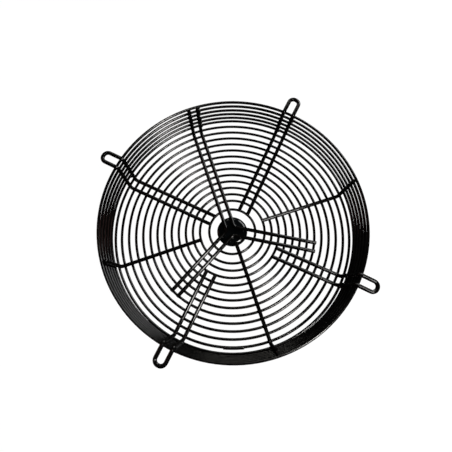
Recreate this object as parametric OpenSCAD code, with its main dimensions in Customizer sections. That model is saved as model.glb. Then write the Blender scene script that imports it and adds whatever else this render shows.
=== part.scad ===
// Wire fan guard: a welded basket of round steel wire for an axial fan.
// The basket lies on its face with its mouth up. The origin is on the axis,
// at the underside of the face rings. All sizes are in millimetres.

/* [Wire] */
// Diameter of the ring wire
ring_wire_d = 4; // [2:0.1:5]
// Diameter of the support wire, used for arms, spokes and star
support_wire_d = 5.6; // [3:0.1:7]
// Bevel round each cut end of a support wire
cut_bevel = 0.5; // [0.1:0.1:1]
// Clearance between two wires where they cross and are welded
weld_gap = 0.05; // [0.02:0.01:0.2]
// Length by which a support wire runs on past the last ring that it carries
overhang = 2; // [1:0.5:4]
// Thinning of a support wire in a bend, on its radius
bend_thinning = 0.02; // [0.01:0.01:0.1]
// Clearance between the inner end of a short arm and the star leg beside it
side_gap = 0.15; // [0.1:0.05:1]
// How far off their true lines the support wires are welded: 0 is not at all
jig_play = 1; // [0:0.1:1.2]

/* [Face] */
// Radius of the innermost ring, at the centre of its wire
first_ring_r = 35.7; // [32:0.1:37]
// Step from the innermost ring out to the second one
first_step = 14.5; // [10:0.5:20]
// Step between the other face rings
ring_pitch = 11; // [8:0.5:14]
// Number of flat rings on the face
face_ring_count = 13; // [11:1:16]
// Step from the outermost flat ring out to the foot of the wall's support wires
foot_step = 4.2; // [4:0.1:8]

/* [Wall] */
// Lean of the wall outwards, from the axis
flare = 4.8; // [2:0.1:10]
// Centreline radius of the bend from the face up into the wall
corner_bend_r = 4; // [3.6:0.1:4.3]
// Place of the corner ring on the outside of that bend, below the horizontal
corner_ring_angle = 30; // [20:1:60]
// Height of the lowest wall ring above the face rings
first_wall_ring_h = 18.1; // [14:0.1:24]
// Step up the wall between rings
wall_ring_pitch = 9.15; // [6:0.05:12]
// Number of rings on the wall below the mouth ring
wall_ring_count = 5; // [3:1:7]

/* [Mounting arms] */
// Distance between the two wires of an arm, centre to centre
arm_spacing = 14.6; // [12:0.1:20]
// Reach of a mounting loop, from the mouth ring out to the loop's tip
loop_reach = 26; // [22:0.1:40]
// Straight length across the tip of a mounting loop
loop_flat = 1; // [0.5:0.1:3]
// Face ring at which the two long arms begin
long_arm_ring = 1; // [1:1:3]

/* [Star and spokes] */
// Distance between the two wires of a star leg, centre to centre
star_spacing = 12; // [10:0.2:14]
// Centreline radius of the bend of a star wire over the hub
star_bend_r = 8; // [6:0.5:12]
// Face ring at which the two short star legs end
star_ring = 9; // [7:1:10]
// Face ring at which the two outer spokes begin
spoke_ring = 2; // [2:1:4]
// Distance from the axis to the inner end of the spoke that reaches the hub
hub_spoke_r = 19; // [18.5:0.5:22]

/* [Hub] */
// Radius of the hub plate
hub_r = 23.5; // [22:0.5:26]
// Thickness of the hub plate
hub_t = 1.5; // [1:0.1:2]
// Width of the plate's edge that is pressed down to the level of the rings
hub_edge_w = 7; // [5:0.5:9]

/* [Hidden] */
$fn = 96;

// Directions round the axis, in degrees from +X towards +Y
arm_names = ["short_arm_right", "long_arm_back", "long_arm_left", "short_arm_front"];
arm_turn = 360 / len(arm_names);
spoke_names = ["outer_spoke_right", "outer_spoke_left", "hub_spoke"];
spoke_turns = [45, 225, 315];
star_names = ["star_wire_left", "star_wire_front", "star_wire_right"];
star_turn = 360 / len(star_names);
wall_leg_turn = 135;

// Sideways shifts of the wires as welded, counterclockwise, at full play
arm_inner_shift = [-1.9, -2.4, -1.3, 0.5];
arm_foot_shift = [1.8, 2, 1.4, 1.3];
arm_loop_shift = [-0.3, -1.7, -2.2, 0.4];
spoke_inner_shift = [0.4, -1.4, -0.9];
spoke_foot_shift = [0.1, 0.4, -1.1];
star_shift = [[2.2, -0.3], [-0.2, -0.9], [0.4, 1.3]];

// Distance between the centres of two wires welded across each other
crossing = (ring_wire_d + support_wire_d) / 2 + weld_gap;

// Heights of the wire centres above the floor
ring_z = ring_wire_d / 2;
support_z = ring_z + crossing;
mouth_z = ring_z + first_wall_ring_h + wall_ring_pitch * wall_ring_count;
loop_z = mouth_z + crossing;

// Radius of a flat face ring, counted from 1
function face_ring_r(i) = first_ring_r + (i > 1 ? first_step + ring_pitch * (i - 2) : 0);

// The wall's support wires at a height: a straight line that leans outwards
wall_foot_r = face_ring_r(face_ring_count) + foot_step;
function wall_r(z) = wall_foot_r + (z - support_z) * tan(flare);
function wall_ring_r(z) = wall_r(z) + crossing / cos(flare);
mouth_r = wall_ring_r(mouth_z);

// Centre of the bend from the face up into the wall
corner_r = wall_foot_r - corner_bend_r * tan((90 - flare) / 2);
corner_z = support_z + corner_bend_r;
loop_tip_r = mouth_r + loop_reach - support_wire_d / 2;

// Inner ends of the arms: the long ones reach in to a ring, and the short ones
// start where they clear the star leg that lies this many degrees beside them
star_leg_aside = (wall_leg_turn + 2 * star_turn) % arm_turn;
long_arm_start = face_ring_r(long_arm_ring) - overhang / 2;
short_arm_start = (support_wire_d + side_gap + star_spacing / 2
                   + arm_spacing / 2 * cos(star_leg_aside)) / sin(star_leg_aside);
arm_starts = [short_arm_start, long_arm_start, long_arm_start, short_arm_start];

// A straight wire runs on by bend_lap into the thinner wire of a bend
bend_lap = 0.05;

function two_digits(i) = str(i < 10 ? "0" : "", i);
function face_ring_name(i) = str("face_ring_", two_digits(i));
function wall_ring_name(i) = str("wall_ring_", i);

// Point at a distance out along a direction, and a distance across it
function spot(turn, out, across, z) =
    [out * cos(turn) - across * sin(turn), out * sin(turn) + across * cos(turn), z];

// A wire across a round ring beside its middle meets it a little further in
function set_back(across) = wall_foot_r - sqrt(wall_foot_r * wall_foot_r - across * across);

// Corner points of a wire on the wall: its foot, and its top at a height
function foot(turn, across, most) =
    spot(turn, wall_foot_r - set_back(most), across, support_z);
function wall_spot(turn, across, most, z) =
    spot(turn, wall_r(z) - set_back(most), across, z);

// Place along one line where a second line crosses it, both in the face
function meet(turn_a, across_a, turn_b, across_b) =
    (across_b - across_a * cos(turn_a - turn_b)) / sin(turn_a - turn_b);

function unit(v) = v / norm(v);

// Moves the X, Y and Z axes to the given directions and the origin to a point
module place(x_dir, y_dir, point) {
    z_dir = cross(x_dir, y_dir);
    multmatrix([for (k = [0 : 2]) [x_dir[k], y_dir[k], z_dir[k], point[k]]]) children();
}

// A closed ring of ring wire round the axis
module ring(r, z) {
    color([0.06, 0.06, 0.07])
        translate([0, 0, z]) rotate_extrude() translate([r, 0]) circle(d = ring_wire_d);
}

// Straight support wire between two points. A cut end is bevelled, and the
// other runs on into a bend.
module rod(from, to, cut_start, cut_end) {
    r = support_wire_d / 2;
    along = unit(to - from);
    side = unit(cross(along, abs(along.z) > 0.5 ? [1, 0, 0] : [0, 0, 1]));
    start_bevel = cut_start ? cut_bevel : 0;
    end_bevel = cut_end ? cut_bevel : 0;
    start_lap = cut_start ? 0 : bend_lap;
    length = norm(to - from) + start_lap + (cut_end ? 0 : bend_lap);
    place(side, cross(along, side), from - along * start_lap) rotate_extrude()
        polygon(concat(
            [[0, 0], [r - start_bevel, 0]],
            cut_start ? [[r, start_bevel]] : [],
            cut_end ? [[r, length - end_bevel]] : [],
            [[r - end_bevel, length], [0, length]]));
}

// Length that a bend takes from the straight wire on each side of its corner
function bend_reach(points, radii, i) =
    i == 0 || i == len(points) - 1 ? 0
    : radii[i - 1] * tan(acos(unit(points[i] - points[i - 1])
                              * unit(points[i + 1] - points[i])) / 2);

// Support wire along corner points, with a bend of a given radius at each
// corner between its two cut ends
module bent_wire(points, radii) {
    last = len(points) - 1;
    for (i = [0 : last - 1]) {
        along = unit(points[i + 1] - points[i]);
        rod(points[i] + along * bend_reach(points, radii, i),
            points[i + 1] - along * bend_reach(points, radii, i + 1),
            i == 0, i == last - 1);
    }
    for (i = [1 : last - 1]) {
        before = unit(points[i] - points[i - 1]);
        after = unit(points[i + 1] - points[i]);
        inward = unit(after - before * (before * after));
        place(-inward, before,
              points[i] - before * bend_reach(points, radii, i) + inward * radii[i - 1])
            rotate_extrude(angle = acos(before * after)) translate([radii[i - 1], 0])
                circle(r = support_wire_d / 2 - bend_thinning);
    }
}

// Mounting arm: one wire that runs up the wall, hooks over the mouth ring,
// turns round in a loop for a bolt and comes back beside itself
module mounting_arm(i) {
    turn = arm_turn * i;
    inner = jig_play * arm_inner_shift[i];
    at_foot = jig_play * arm_foot_shift[i];
    at_loop = jig_play * arm_loop_shift[i];
    half = arm_spacing / 2;
    loop_bend_r = half - loop_flat / 2;
    most = half + max(abs(at_foot), abs(at_loop));
    function side(s) = [
        spot(turn, arm_starts[i], inner + s * half, support_z),
        foot(turn, at_foot + s * half, most),
        wall_spot(turn, at_loop + s * half, most, loop_z),
        spot(turn, loop_tip_r, at_loop + s * half, loop_z)];
    back = side(1);
    color([0.09, 0.09, 0.1])
        bent_wire(concat(side(-1), [back[3], back[2], back[1], back[0]]),
                  [corner_bend_r, crossing, loop_bend_r, loop_bend_r, crossing, corner_bend_r]);
}

// Single spoke: a straight wire along the face and up the wall to the mouth ring
module spoke(i, from_r) {
    inner = jig_play * spoke_inner_shift[i];
    at_foot = jig_play * spoke_foot_shift[i];
    color([0.12, 0.12, 0.13])
        bent_wire([spot(spoke_turns[i], from_r, inner, support_z),
                   foot(spoke_turns[i], at_foot, at_foot),
                   wall_spot(spoke_turns[i], at_foot, at_foot, mouth_z + overhang)],
                  [corner_bend_r]);
}

// Star wire: two legs and a bend over the hub. A leg ends on the face, or goes
// on up the wall where it lies in the direction of the wall leg.
module star_wire(i) {
    half = star_spacing / 2;
    turns = [wall_leg_turn + star_turn * i, wall_leg_turn + star_turn * (i + 1)];
    across = [jig_play * star_shift[i][0] + half, jig_play * star_shift[i][1] - half];
    apex = spot(turns[0], meet(turns[0], across[0], turns[1], across[1]), across[0],
                support_z);
    on_wall = [i == 0, i == len(star_names) - 1];
    function leg(k) = on_wall[k]
        ? [wall_spot(turns[k], across[k], across[k], mouth_z + overhang),
           foot(turns[k], across[k], across[k])]
        : [spot(turns[k], face_ring_r(star_ring) + overhang, across[k], support_z)];
    second = leg(1);
    color([0.15, 0.15, 0.16])
        bent_wire(concat(leg(0), [apex], on_wall[1] ? [second[1], second[0]] : second),
                  concat(on_wall[0] ? [corner_bend_r] : [], [star_bend_r],
                         on_wall[1] ? [corner_bend_r] : []));
}

// Hub plate: a pressed disc, flat under the star and rounded down at its edge
module hub_plate() {
    flat_r = hub_r - hub_edge_w;
    edge_r = (hub_edge_w * hub_edge_w + ring_wire_d * ring_wire_d) / (2 * ring_wire_d);
    color([0.07, 0.07, 0.08])
        rotate_extrude() {
            translate([0, ring_wire_d - hub_t]) square([flat_r, hub_t]);
            intersection() {
                translate([flat_r, ring_wire_d - edge_r]) difference() {
                    circle(edge_r);
                    circle(edge_r - hub_t);
                }
                translate([flat_r, 0]) square([hub_edge_w, ring_wire_d]);
            }
        }
}

hub_plate();
for (i = [1 : face_ring_count])
    ring(face_ring_r(i), ring_z);
ring(corner_r + (corner_bend_r + crossing) * cos(corner_ring_angle),  // corner_ring
         corner_z - (corner_bend_r + crossing) * sin(corner_ring_angle));
for (i = [1 : wall_ring_count])
    union() {
        z = ring_z + first_wall_ring_h + wall_ring_pitch * (i - 1);
        ring(wall_ring_r(z), z);
    }
ring(mouth_r, mouth_z);  // mouth_ring
for (i = [0 : len(arm_names) - 1])
    mounting_arm(i);
for (i = [0 : len(spoke_names) - 1])
    spoke(i, spoke_names[i] == "hub_spoke" ? hub_spoke_r
                                               : face_ring_r(spoke_ring) - overhang);
for (i = [0 : len(star_names) - 1])
    star_wire(i);
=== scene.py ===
# Wire fan guard: a welded basket of black coated steel wire, lying on its face
# with its open mouth towards the camera. Everything is in metres, in the frame
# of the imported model.
import bpy
import math
from mathutils import Euler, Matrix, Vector


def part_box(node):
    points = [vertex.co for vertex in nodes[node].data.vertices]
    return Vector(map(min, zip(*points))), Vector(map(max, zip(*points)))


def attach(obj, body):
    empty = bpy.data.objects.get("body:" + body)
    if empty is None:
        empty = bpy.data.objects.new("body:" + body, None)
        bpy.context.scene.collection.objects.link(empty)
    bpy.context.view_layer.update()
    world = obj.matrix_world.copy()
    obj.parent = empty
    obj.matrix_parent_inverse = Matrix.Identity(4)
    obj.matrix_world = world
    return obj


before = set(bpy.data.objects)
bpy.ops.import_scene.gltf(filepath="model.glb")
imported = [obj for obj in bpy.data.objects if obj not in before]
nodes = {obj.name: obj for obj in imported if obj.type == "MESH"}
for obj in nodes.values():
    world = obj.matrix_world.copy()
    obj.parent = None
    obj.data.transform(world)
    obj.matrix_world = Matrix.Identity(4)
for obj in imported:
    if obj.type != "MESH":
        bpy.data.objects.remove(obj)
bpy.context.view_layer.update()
bpy.ops.object.select_all(action="DESELECT")


# ---- Coating of the ring wire ----
# The rings are drawn steel wire, dipped or sprayed black after the basket is
# welded. The coat is glossy, with a faint orange peel and a little dust on top.
def new_group(name, inputs, outputs):
    """An empty node group with the sockets named in inputs and outputs."""
    group = bpy.data.node_groups.new(name, "ShaderNodeTree")
    for label, kind, value in inputs:
        socket = group.interface.new_socket(label, in_out="INPUT", socket_type=kind)
        if value is not None:
            socket.default_value = value
    for label, kind in outputs:
        group.interface.new_socket(label, in_out="OUTPUT", socket_type=kind)
    return group


def add(tree, kind, x, y, **values):
    """A node at (x, y) with the values of its named inputs."""
    node = tree.nodes.new(kind)
    node.location = (x, y)
    for label, value in values.items():
        node.inputs[label.replace("_", " ")].default_value = value
    return node


def orange_peel_group():
    """Fine waviness of a sprayed coat: a normal and a patchy mask from Object coordinates."""
    g = new_group("OrangePeel",
                  [("Scale", "NodeSocketFloat", 900.0), ("Height", "NodeSocketFloat", 0.1)],
                  [("Patch", "NodeSocketFloat"), ("Normal", "NodeSocketVector")])
    inp = add(g, "NodeGroupInput", -800, 0)
    coords = add(g, "ShaderNodeTexCoord", -800, -200)
    fine = add(g, "ShaderNodeTexNoise", -500, 0, Detail=3.0, Roughness=0.5)
    patch = add(g, "ShaderNodeTexNoise", -500, -250, Scale=60.0, Detail=4.0, Roughness=0.6)
    bump = add(g, "ShaderNodeBump", -200, 0, Distance=0.0002)
    out = add(g, "NodeGroupOutput", 50, 0)
    link = g.links.new
    link(coords.outputs["Object"], fine.inputs["Vector"])
    link(coords.outputs["Object"], patch.inputs["Vector"])
    link(inp.outputs["Scale"], fine.inputs["Scale"])
    link(inp.outputs["Height"], bump.inputs["Strength"])
    link(fine.outputs["Fac"], bump.inputs["Height"])
    link(bump.outputs["Normal"], out.inputs["Normal"])
    link(patch.outputs["Fac"], out.inputs["Patch"])
    return g


orange_peel = orange_peel_group()


def coating(name, dark, light, rough_low, rough_high, shine, peel_scale, peel_height):
    """Black coat: patches of two blacks and of two glosses over an orange peel bump."""
    mat = bpy.data.materials.new(name)
    mat.use_nodes = True
    tree = mat.node_tree
    tree.nodes.clear()
    peel = add(tree, "ShaderNodeGroup", -600, 0)
    peel.node_tree = orange_peel
    peel.inputs["Scale"].default_value = peel_scale
    peel.inputs["Height"].default_value = peel_height
    ramp = add(tree, "ShaderNodeValToRGB", -350, 150)
    ramp.color_ramp.elements[0].position = 0.35
    ramp.color_ramp.elements[0].color = dark
    ramp.color_ramp.elements[1].position = 0.7
    ramp.color_ramp.elements[1].color = light
    rough = add(tree, "ShaderNodeMapRange", -350, -120)
    rough.inputs["From Min"].default_value = 0.3
    rough.inputs["From Max"].default_value = 0.7
    rough.inputs["To Min"].default_value = rough_low
    rough.inputs["To Max"].default_value = rough_high
    shader = add(tree, "ShaderNodeBsdfPrincipled", 0, 0)
    shader.inputs["IOR"].default_value = 1.45
    shader.inputs["Specular IOR Level"].default_value = shine
    out = add(tree, "ShaderNodeOutputMaterial", 300, 0)
    link = tree.links.new
    link(peel.outputs["Patch"], ramp.inputs["Fac"])
    link(peel.outputs["Patch"], rough.inputs["Value"])
    link(ramp.outputs["Color"], shader.inputs["Base Color"])
    link(rough.outputs["Result"], shader.inputs["Roughness"])
    link(peel.outputs["Normal"], shader.inputs["Normal"])
    link(shader.outputs["BSDF"], out.inputs["Surface"])
    return mat


def coat_nodes(prefixes, mat):
    """Gives every CAD node whose name starts with one of the prefixes this material."""
    for name, obj in nodes.items():
        if name.startswith(prefixes):
            obj.data.materials.clear()
            obj.data.materials.append(mat)


ring_coat = coating("RingCoat", (0.0008, 0.0007, 0.0007, 1), (0.002, 0.0018, 0.0017, 1),
                    0.12, 0.18, 0.35, 1100.0, 0.003)
ring_prefixes = ("face_ring", "corner_ring", "wall_ring", "mouth_ring")
coat_nodes(ring_prefixes, ring_coat)


# ---- Coating of the arms, spokes and star wires ----
# The support wires are thicker, and the coat flows out smoother on them, so
# they show a sharper line of light than the rings do.
support_coat = coating("SupportCoat", (0.0008, 0.0007, 0.0007, 1), (0.002, 0.0018, 0.0017, 1),
                       0.08, 0.13, 0.24, 700.0, 0.01)
support_prefixes = ("short_arm", "long_arm", "outer_spoke", "hub_spoke", "star_wire")
coat_nodes(support_prefixes, support_coat)


# ---- Hub plate ----
# A pressed sheet disc under the star, flat in the middle and rounded down at
# its edge, coated with the rest. The coat is a little duller on the flat.
plate_coat = coating("PlateCoat", (0.0006, 0.0008, 0.001, 1), (0.0015, 0.0019, 0.0023, 1),
                     0.1, 0.16, 0.3, 500.0, 0.01)
coat_nodes(("hub_plate",), plate_coat)


# ---- Lap of the outermost face ring ----
# The wire of this ring is bent round until its ends overlap. The upper end lies on the
# outer shoulder of the lower one, where the two are welded, and is coated with them.
def wire_gauge(name):
    """Diameter of a flat ring's wire, from its box."""
    low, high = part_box(name)
    return high[2] - low[2]


def ring_line(name):
    """(radius, height) of the middle of a flat ring's wire."""
    low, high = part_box(name)
    gauge = wire_gauge(name)
    return high[0] - gauge / 2, low[2] + gauge / 2


def finish_mesh(piece, mat):
    """Applies the transforms, smooths, coats and declares a modelled piece."""
    bpy.ops.object.transform_apply(location=True, rotation=True, scale=True)
    bpy.ops.object.shade_smooth_by_angle(angle=math.radians(40))
    piece.data.materials.append(mat)
    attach(piece, "root")
    bpy.ops.object.select_all(action="DESELECT")


lap_ring = "face_ring_13"
lap_length = 0.03
lap_middle = math.radians(297)
lap_gauge = wire_gauge(lap_ring)
lap_shift = 0.2 * lap_gauge
lap_rise = math.sqrt(lap_gauge ** 2 - lap_shift ** 2)
lap_r, lap_z = ring_line(lap_ring)
bpy.ops.mesh.primitive_circle_add(vertices=24, radius=lap_gauge / 2, fill_type="NGON",
                                  location=(lap_r + lap_shift, 0, lap_z + lap_rise),
                                  rotation=(math.pi / 2, 0, 0))
lap = bpy.context.object
lap.name = "ring_lap"
bpy.ops.object.transform_apply(location=True, rotation=True, scale=True)
lap_turn = lap_length / lap_r
bpy.ops.object.mode_set(mode="EDIT")
bpy.ops.mesh.select_all(action="SELECT")
bpy.ops.mesh.spin(steps=16, angle=lap_turn, center=(0, 0, 0), axis=(0, 0, 1))
bpy.ops.mesh.select_all(action="SELECT")
bpy.ops.mesh.normals_make_consistent(inside=False)
bpy.ops.object.mode_set(mode="OBJECT")
lap.rotation_euler.z = lap_middle + lap_turn / 2  # the spin runs clockwise from here
edge = lap.modifiers.new("cut_edge", "BEVEL")
edge.width = 0.0005
edge.segments = 2
edge.angle_limit = math.radians(60)
bpy.ops.object.modifier_apply(modifier=edge.name)
finish_mesh(lap, ring_coat)


# ---- Welds ----
# Every crossing is resistance welded: the wires are squeezed together while current melts
# their contact, and a flat bead of steel is pressed out between them and coated over.
weld_reach = 0.0016   # the widest gap that a bead bridges
scan_step = 0.0004    # from one ray to the next along a ring
scan_clear = 0.00002  # from a ring's surface to where its rays start
bead_size = (0.0021, 0.0024)  # half a bead's size across and along the ring
bead_bite = 0.0004    # how deep a bead sinks into each wire


def crossings(ring, lean):
    """Where supports lie against a ring: (support's name, azimuth, gap) of each wire. lean
    is the way from the ring's wire to its supports, 90 degrees for up and 0 for inward."""
    radius, height = ring_line(ring)
    reach = wire_gauge(ring) / 2 + scan_clear
    steps = round(2 * math.pi * radius / scan_step)
    inward, up = math.cos(lean), math.sin(lean)
    graph = bpy.context.evaluated_depsgraph_get()
    runs = []
    for i in range(steps):
        turn = 2 * math.pi * i / steps
        way = Vector((-inward * math.cos(turn), -inward * math.sin(turn), up))
        start = Vector((radius * math.cos(turn), radius * math.sin(turn), height)) + reach * way
        hit, spot, _, _, obj, _ = bpy.context.scene.ray_cast(graph, start, way,
                                                             distance=weld_reach)
        if hit and obj.name.startswith(support_prefixes):
            gap = (spot - start).length
            if runs and runs[-1][0] == obj.name and runs[-1][2] == i - 1:
                runs[-1][2:] = [i, min(gap, runs[-1][3])]
            else:
                runs.append([obj.name, i, i, gap])
    return [(name, math.pi * (first + last) / steps, gap) for name, first, last, gap in runs]


leans = dict(zip(ring_prefixes, (90, 60, 0, 0)))
beads = {}
for ring in sorted(name for name in nodes if name.startswith(ring_prefixes)):
    lean = math.radians(next(leans[prefix] for prefix in leans if ring.startswith(prefix)))
    radius, height = ring_line(ring)
    for support, turn, gap in crossings(ring, lean):
        touch = (wire_gauge(ring) + gap) / 2
        out = radius - touch * math.cos(lean)
        bpy.ops.mesh.primitive_uv_sphere_add(
            segments=12, ring_count=6, radius=1.0,
            location=(out * math.cos(turn), out * math.sin(turn), height + touch * math.sin(lean)),
            rotation=(0, lean - math.pi / 2, turn))
        bead = bpy.context.object
        bead.scale = (*bead_size, bead_bite + gap / 2)
        beads.setdefault(support, []).append(bead)
for support, parts in beads.items():
    bpy.ops.object.select_all(action="DESELECT")
    for bead in parts:
        bead.select_set(True)
    bpy.context.view_layer.objects.active = parts[0]
    bpy.ops.object.join()
    parts[0].name = "welds_" + support
    finish_mesh(parts[0], ring_coat)


# ---- Floor ----
# A plain white studio table under the guard. It glows for the camera, so it
# stays white in the picture, and it takes a faint shadow.
bpy.ops.mesh.primitive_plane_add(size=6.0, location=(0, 0, 0))
floor = bpy.context.object
floor.name = "floor"
floor_mat = bpy.data.materials.new("FloorWhite")
floor_mat.use_nodes = True
tree = floor_mat.node_tree
tree.nodes.clear()
matt = add(tree, "ShaderNodeBsdfDiffuse", -300, 100, Color=(0.03, 0.03, 0.03, 1))
glow = add(tree, "ShaderNodeEmission", -300, -100, Color=(1, 1, 1, 1), Strength=0.985)
paths = add(tree, "ShaderNodeLightPath", -550, 250)
lit = add(tree, "ShaderNodeAddShader", -50, -50)
pick = add(tree, "ShaderNodeMixShader", 150, 50)
out = add(tree, "ShaderNodeOutputMaterial", 350, 50)
tree.links.new(matt.outputs["BSDF"], lit.inputs[0])
tree.links.new(glow.outputs["Emission"], lit.inputs[1])
tree.links.new(paths.outputs["Is Camera Ray"], pick.inputs["Fac"])
tree.links.new(matt.outputs["BSDF"], pick.inputs[1])
tree.links.new(lit.outputs["Shader"], pick.inputs[2])
tree.links.new(pick.outputs["Shader"], out.inputs["Surface"])
floor.data.materials.append(floor_mat)


# ---- Studio light ----
# A dark room with a few soft boxes, which draw thin lines of light along the wires. The
# one over the guard gives the strongest, and a low box lights the inside of the wall.
world = bpy.data.worlds.new("Studio")
bpy.context.scene.world = world
world.use_nodes = True
tree = world.node_tree
tree.nodes.clear()
paths = add(tree, "ShaderNodeLightPath", -600, 200)
level = add(tree, "ShaderNodeMapRange", -350, 100, To_Min=0.015, To_Max=1.0)
room = add(tree, "ShaderNodeBackground", -100, 0, Color=(1, 1, 1, 1))
out = add(tree, "ShaderNodeOutputWorld", 150, 0)
tree.links.new(paths.outputs["Is Camera Ray"], level.inputs["Value"])
tree.links.new(level.outputs["Result"], room.inputs["Strength"])
tree.links.new(room.outputs["Background"], out.inputs["Surface"])


def soft_box(name, place, width, height, power, colour):
    """An area light at place, turned towards the middle of the guard."""
    bpy.ops.object.light_add(type="AREA", location=place)
    lamp = bpy.context.object
    lamp.name = name
    lamp.data.shape = "RECTANGLE"
    lamp.data.size, lamp.data.size_y = width, height
    lamp.data.energy = power
    lamp.data.color = colour
    lamp.rotation_euler = (-Vector(place)).to_track_quat("-Z", "Y").to_euler()


soft_box("key_box", (0.708, -0.128, 1.429), 0.13, 0.6, 24.0, (1, 0.97, 0.94))
soft_box("side_box", (0.161, 0.651, 0.336), 0.4, 0.28, 5.5, (1, 1, 1))
soft_box("back_strip", (-0.741, 1.279, 1.026), 0.7, 0.2, 5.0, (1, 0.98, 0.9))
soft_box("warm_strip", (-1.467, -0.466, 0.438), 0.5, 0.3, 1.4, (1, 0.5, 0.45))


# ---- Camera ----
# It looks down into the mouth from close by, a little below the middle of the
# picture, so the wall is spread wide at the top and drawn together at the bottom.
bpy.ops.object.camera_add(location=(0.05163, -0.11989, 0.52628))
camera = bpy.context.object
camera.rotation_euler = Euler([math.radians(a) for a in (14.8453, 0.2406, 26.6)])
camera.data.sensor_width = 36.0
camera.data.lens = 27.664
camera.data.clip_start = 0.01
bpy.context.scene.camera = camera
bpy.context.scene.view_settings.view_transform = "Standard"
